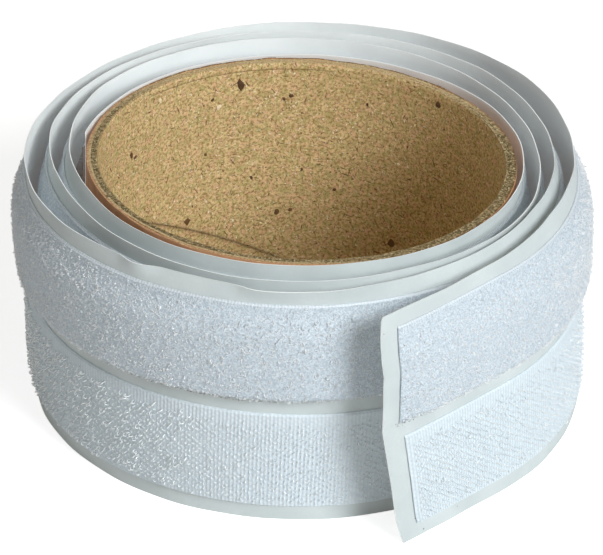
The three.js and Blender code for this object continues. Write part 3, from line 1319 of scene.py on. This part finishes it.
    def build(self) -> None:
        """Makes every layer of both stretches."""
        papers = [
            ReleasePaper("release_face", srgb(248, 252, 251), srgb(238, 243, 242), 0.40, 0.06).material(),
            ReleasePaper("release_back", srgb(210, 218, 218), srgb(198, 207, 207), 0.5).material(),
            CutPaperEdge().material(),
        ]
        glue, wool = ClearGlue().material(), PileBed().material()
        looped = NylonYarn("loop_yarn", srgb(255, 255, 254), srgb(232, 241, 248), 0.25, 1.0, 0.4, 0.15, 0.5)
        hooked = NylonYarn("nylon_hook", srgb(252, 255, 255), srgb(224, 236, 244), 0.2, 0.8, 0.6, 0.08)
        yarn, nylon = looped.material(), hooked.material()
        # Each strip's light tone, and its darker tone for the yarns' spread and the painted shade in the
        # cords' valleys.
        tones = {
            Strip.HOOK: (srgb(230, 240, 244), srgb(198, 210, 218)),
            Strip.LOOP: (srgb(229, 237, 242), srgb(200, 209, 216)),
        }
        for strip in Strip:
            name = f"{strip.name.lower()}_ground_cloth"
            cloth = WovenGround(name, self.cords[strip], *tones[strip]).material()
            for stretch in Stretch:
                self.film_piece(strip, stretch, glue)
                self.ground_piece(strip, stretch, cloth)
        for stretch in Stretch:
            self.liner_piece(stretch, papers)
            self.bed_piece(stretch, wool)
        self.loop_piece("pile_loops_inner", 0.0, self.outer_from, 0.34, 21, yarn)
        borders = (self.outer_from, 2.79, 2.97, 3.33, self.split, self.strip_end(Strip.LOOP) - 0.0003)
        for number, density in enumerate((6.2, 6.2, 2.8, 6.2, 6.2)):
            start, end = borders[number : number + 2]
            self.loop_piece(f"pile_loops_{number + 1}", start, end, density, 22 + number, yarn)
        self.hook_piece("hooks_inner", 0.0, self.outer_from, 31, nylon, True, "hook_field")
        self.hook_piece("hooks_outer_front", self.outer_from, 3.0, 32, nylon)
        self.hook_piece("hooks_outer_back", 3.0, self.split, 33, nylon)
        last = self.strip_end(Strip.HOOK) - 0.001
        self.hook_piece("hooks_end", self.split, last, 34, nylon, node="hook_field")
        self.grime()


# The core


@dataclass
class PaperCore:
    """The core: five plies of kraft, each a strip of paper wound on a slant, glued up and cut square.

    The tube is a little oval and pressed towards the front: from its radius come twentieths of a millimetre
    that follow the cosine of twice the angle and the sine of the angle. Its cut is lower at the front.
    """

    axis: tuple[float, float]
    bore: float = 38.5 * MM
    ply: float = 0.45 * MM
    height: float = 49.0 * MM
    names: tuple[str, ...] = ("inner_ply", "second_ply", "middle_ply", "fourth_ply", "outer_ply")
    seams: tuple[float, ...] = (82.0, 205.0, 318.0, 60.0, 255.0)
    climb: float = 3.03
    seam_gap: float = 0.28 * MM
    score_level: float = 47.6 * MM

    def oval(self, angle: Array) -> Array:
        """What comes to the radius at an angle, as the class says."""
        return (0.05 - 0.30 * np.cos(2 * angle) - 0.155 * np.sin(angle)) * MM

    def around(self, radius: Array, angle: Array, height: Array) -> Array:
        """Points at a radius, an angle and a height round the core's axis."""
        x = self.axis[0] + radius * np.cos(angle)
        y = self.axis[1] + radius * np.sin(angle)
        return np.stack([x, y, height], -1)

    def grit_and_shade(self, index: int, angle: Array) -> Array:
        """How gritty a ply's cut is: the board least at the back, its wrap least at the front left and, as
        painted shade, darkest at the back.
        """
        back = np.clip(np.sin(angle), 0.0, 1.0) ** 2
        clean = np.clip(1.6 * np.cos(angle - math.radians(218.0)) - 0.3, 0.0, 1.0)
        most, wrap = ((0.80, 0.0), (0.95, 0.0), (0.95, 0.0), (0.9, 0.5), (1.0, 1.0))[index]
        share = most * (1.0 - 0.9 * back) * (1.0 - wrap * clean)
        # Painted shade: the outer ply's cut is darkest at the back, for the gap between the core and the
        # liner.
        return np.where(index == 4, np.maximum(share, np.minimum(1.0, 1.8 * back)), share)

    def ply_piece(self, index: int, wall: Material, cut: Material) -> None:
        """One ply: a tube slit along a slanting seam.

        Round the tube go columns from one side of the seam to the other. A column's angle is the seam's at
        that height plus its share of the full round less the gap, so the slit climbs as the strip was wound.

        Args:
            index: the ply, from the inside.
            wall: the finish of its two faces.
            cut: the finish of its cut ends.
        """
        inner, outer = self.bore + index * self.ply, self.bore + (index + 1) * self.ply
        first, last = index == 0, index == len(self.names) - 1
        columns, body = (300, 58) if first or last else (150, 30)
        share = np.linspace(0.0, 1.0, columns)
        rim = [47.4, 47.52, 47.6, 47.68, 47.8, 48.4, 48.8, 49.0]
        height = np.concatenate([[0.0, 0.1], np.linspace(0.9, 47.2, body), rim]) * MM
        rows = len(height)
        seam = math.radians(self.seams[index]) + math.radians(self.climb) * height / MM
        gap = self.seam_gap / inner
        angle = seam[None, :] + gap / 2 + share[:, None] * (ROUND - gap)
        wear = cloud(columns, rows, (0.8 * MM, 0.8 * MM), 1.4 * MM, 40 + index)
        fuzz = cloud(columns, 1, (0.8 * MM, 1.0), 1.0 * MM, 60 + index)[:, 0]
        wear[-1], fuzz[-1] = wear[0], fuzz[0]
        near_seam = np.exp(-np.minimum(share, 1 - share) * ROUND * inner / (0.7 * MM))[:, None]
        line = np.exp(-(((height - self.score_level) / (0.09 * MM)) ** 2))
        score = line * smooth_step((np.cos(angle - math.radians(112.0)) - 0.83) / 0.08)
        inside, outside = inner + self.oval(angle), outer + self.oval(angle)
        if first:
            inside += 0.012 * MM * wear - 0.05 * MM * near_seam + 0.07 * MM * score
            inside[:, -3:] += np.array([0.02, 0.07, 0.22]) * MM
        if last:
            outside += 0.012 * MM * wear
            outside[:, -1] -= 0.06 * MM
        rings = np.concatenate([inside, outside[:, ::-1]], 1)
        turned = np.concatenate([angle, angle[:, ::-1]], 1)
        tall = np.concatenate([height, height[::-1]])[None, :]
        level = tall / self.height
        lowered = 0.15 * MM * (1.0 - np.sin(turned)) + 0.03 * MM
        rough = np.where(np.isclose(level, 1.0), (0.05 * MM * fuzz)[:, None], 0.0)
        tall = tall - lowered * level**6 + rough
        column = np.arange(2 * rows)
        ends = (column % rows == rows - 1).astype(int)
        shade = self.grit_and_shade(index, turned)
        # Painted shade: the wall is darker in the score's groove and beside the seam's gap.
        groove_shade = np.maximum(score, 0.8 * near_seam)
        shade[:, : rows - 1], shade[:, rows + 1 :] = groove_shade[:, :-1], groove_shade[:, -2::-1]
        skin = Skin(
            self.around(rings, turned, tall).reshape(-1, 3),
            band_faces(columns, 2 * rows),
            flat=np.stack([turned * inner, tall], -1).reshape(-1, 2),
            shade=shade.ravel(),
            slots=np.concatenate([np.tile(ends, columns - 1), np.ones(2 * (rows - 1), int)]),
        )
        piece = skin.piece("board_" + self.names[index], [wall, cut])
        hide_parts("core_" + self.names[index])
        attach(piece, "core")

    def fleck_piece(
        self, name: str, large: list[tuple[float, ...]], small: int, seed: int, stuff: Material
    ) -> None:
        """Flecks pressed into the bore's wall, some at given places and many small ones anywhere.

        Args:
            name: the piece's name.
            large: angle in degrees, height and length in millimetres of each given one.
            small: how many small ones there are.
            seed: what they are drawn from.
            stuff: their finish.
        """
        draw = np.random.default_rng(seed)
        degrees, levels, lengths = np.array(large).T
        angle = np.radians(np.concatenate([degrees, draw.uniform(0, 360, small)]))
        height = np.concatenate([levels, draw.uniform(0.8, 47.6, small)]) * MM
        size = np.concatenate([lengths / 2, draw.gamma(2.0, 0.06, small) + 0.09]) * MM
        slim = np.concatenate([draw.uniform(0.6, 0.9, len(large)), draw.uniform(0.15, 0.7, small)])
        cos, sin, none = np.cos(angle), np.sin(angle), np.zeros_like(angle)
        ways = ((-sin, cos, none), (none, none, none + 1.0), (-cos, -sin, none))
        centre = self.around(self.bore + self.oval(angle), angle, height)
        frame = (centre, *(np.stack(way, -1) for way in ways))
        piece = flakes(frame, size, slim, 0.085 * MM, seed + 1).piece(name, [stuff], crease=None)
        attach(piece, "core")

    def build(self) -> None:
        """Makes the plies, the flecks of bark and the pale chips."""
        board, smooth = KraftBoard().material(), SmoothKraft().material()
        cut = CutBoard("cut_board", srgb(236, 210, 162), srgb(196, 166, 120)).material()
        wrap = CutBoard("cut_wrap", srgb(228, 178, 136), srgb(196, 146, 106)).material()
        for index in range(len(self.names)):
            last = index == len(self.names) - 1
            self.ply_piece(index, smooth if last else board, wrap if last else cut)
        bark = [
            (109, 44.7, 3.1), (94, 41.7, 1.4), (96, 41.0, 1.0),
            (47, 46.2, 1.9), (61, 11.7, 2.6), (126, 16.2, 2.2),
            (97, 15.4, 1.7), (93, 15.8, 1.2), (80, 21.1, 1.0),
            (90, 25.1, 1.1), (67, 22.9, 1.0), (118, 42.4, 1.1),
            (105, 23.5, 1.1), (150, 37.2, 1.9), (148, 36.2, 1.3), (120, 30.4, 1.1), (71, 41.4, 1.0),
            (20, 20.0, 1.9), (200, 30.0, 1.8), (250, 12.0, 2.4), (290, 38.0, 1.9), (330, 25.0, 1.7),
        ]
        chips = [
            (116, 40.5, 1.6), (104, 38.9, 1.0), (137, 46.0, 1.2),
            (125, 20.0, 1.0), (60, 30.0, 0.9), (230, 30.0, 1.3),
        ]
        dark = Fleck("bark_fleck", srgb(74, 48, 24), srgb(120, 84, 46)).material()
        pale = Fleck("pale_chip", srgb(255, 240, 206), srgb(226, 204, 156)).material()
        self.fleck_piece("bore_flecks", bark, 420, 71, dark)
        self.fleck_piece("bore_chips", chips, 170, 75, pale)


# Studio


@dataclass
class Studio:
    """The floor, the lamps, the surroundings and the camera."""

    axis: tuple[float, float]
    aim: tuple[float, float, float] = (0.8361 * MM, 0.0, 22.3247 * MM)
    distance: float = 650.0 * MM
    elevation: float = 0.523270
    roll: float = 0.039078
    focal_pixels: float = 3385.65
    image_width: int = 603
    sensor: float = 36.0
    floor_half: float = 3.0

    def camera(self) -> None:
        """Sets the camera: it looks along +Y and down, rolled a little, from the fitted distance."""
        forward = Vector((0.0, math.cos(self.elevation), -math.sin(self.elevation)))
        right = Vector((1.0, 0.0, 0.0))
        up = right.cross(forward)
        turned_right = right * math.cos(self.roll) + up * math.sin(self.roll)
        turned_up = up * math.cos(self.roll) - right * math.sin(self.roll)
        data = bpy.data.cameras.new("camera")
        data.sensor_width = self.sensor
        data.lens = self.focal_pixels * self.sensor / self.image_width
        data.clip_start, data.clip_end = 0.01, 20.0
        cam = bpy.data.objects.new("camera", data)
        bpy.context.scene.collection.objects.link(cam)
        where = Vector((*self.axis, 0.0)) + Vector(self.aim) - forward * self.distance
        columns = Matrix((turned_right, turned_up, -forward)).transposed().to_4x4()
        cam.matrix_world = Matrix.Translation(where) @ columns
        bpy.context.scene.camera = cam

    def lamp(
        self,
        name: str,
        azimuth: float,
        elevation: float,
        far: float,
        size: float,
        power: float,
        warmth: float,
    ) -> None:
        """An area lamp that looks at the roll.

        Args:
            name: its name.
            azimuth: degrees round the roll, from +X towards +Y.
            elevation: degrees above the floor.
            far: its distance.
            size: its side.
            power: its power in watts.
            warmth: how much of its blue it lacks, and of its green half of that.
        """
        a, e = math.radians(azimuth), math.radians(elevation)
        back = Vector((math.cos(a) * math.cos(e), math.sin(a) * math.cos(e), math.sin(e)))
        data = bpy.data.lights.new(name, "AREA")
        data.shape, data.size, data.energy = "DISK", size, power
        data.color = (1.0, 1.0 - warmth / 2.0, 1.0 - warmth)
        lamp = bpy.data.objects.new(name, data)
        bpy.context.scene.collection.objects.link(lamp)
        lamp.rotation_mode = "QUATERNION"
        lamp.rotation_quaternion = back.to_track_quat("Z", "Y")
        lamp.location = back * far + Vector((0.0, 0.0, 0.03))

    def surroundings(self) -> None:
        """A dome, brightest at the horizon, and white to the camera, in gloss and through clear parts."""
        world = bpy.data.worlds.new("dome")
        tree = Tree(world)
        towards = tree.node("SeparateXYZ", {0: tree.node("TexCoord").outputs["Generated"]}).outputs["Z"]
        level = tree.between(towards, 0.0, 0.85, 0.33, 0.16)
        dome = tree.node("Background", {"Color": (1.0, 0.972, 0.91, 1.0), "Strength": level})
        white = tree.node("Background", {"Color": WHITE, "Strength": 1.0})
        ray = tree.node("LightPath").outputs
        shown = tree.sums("MAXIMUM", ray["Is Camera Ray"], ray["Is Transmission Ray"])
        shown = tree.sums("MAXIMUM", shown, ray["Is Glossy Ray"])
        both = {1: dome.outputs["Background"], 2: white.outputs["Background"]}
        mix = tree.node("MixShader", {0: shown, **both})
        tree.node("OutputWorld", {"Surface": mix.outputs["Shader"]})
        bpy.context.scene.world = world

    def floor(self) -> None:
        """A wide pale floor that keeps the roll's shadow and is white to the camera away from it."""
        half = self.floor_half
        mesh = bpy.data.meshes.new("floor")
        corners = [(-half, -half, 0), (half, -half, 0), (half, half, 0), (-half, half, 0)]
        mesh.from_pydata(corners, [], [(0, 1, 2, 3)])
        bench = Bench("pale_floor")
        glow = bench.sums("MULTIPLY", bench.node("LightPath").outputs["Is Camera Ray"], 0.72)
        pale = (0.80, 0.80, 0.80, 1.0)
        bench.set(base_color=pale, roughness=0.9, emission_color=WHITE, emission_strength=glow)
        mesh.materials.append(bench.material)
        obj = bpy.data.objects.new("floor", mesh)
        bpy.context.scene.collection.objects.link(obj)

    def build(self) -> None:
        """Sets the stage."""
        bpy.context.scene.view_settings.view_transform = "Standard"
        self.surroundings()
        self.floor()
        self.lamp("key", 310.0, 33.0, 1.2, 0.55, 11.5, -0.06)
        self.lamp("fill", 238.0, 11.0, 1.5, 0.7, 2.0, 0.14)
        self.camera()


def main() -> None:
    """Loads the frame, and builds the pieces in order."""
    logging.basicConfig(level=logging.INFO, format="%(name)s: %(message)s")
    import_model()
    low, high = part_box("core_inner_ply")
    axis = ((low.x + high.x) / 2, (low.y + high.y) / 2)
    Studio(axis).build()
    PaperCore(axis).build()
    TapeLayers(TapePath(axis)).build()


if __name__ == "__main__":
    main()
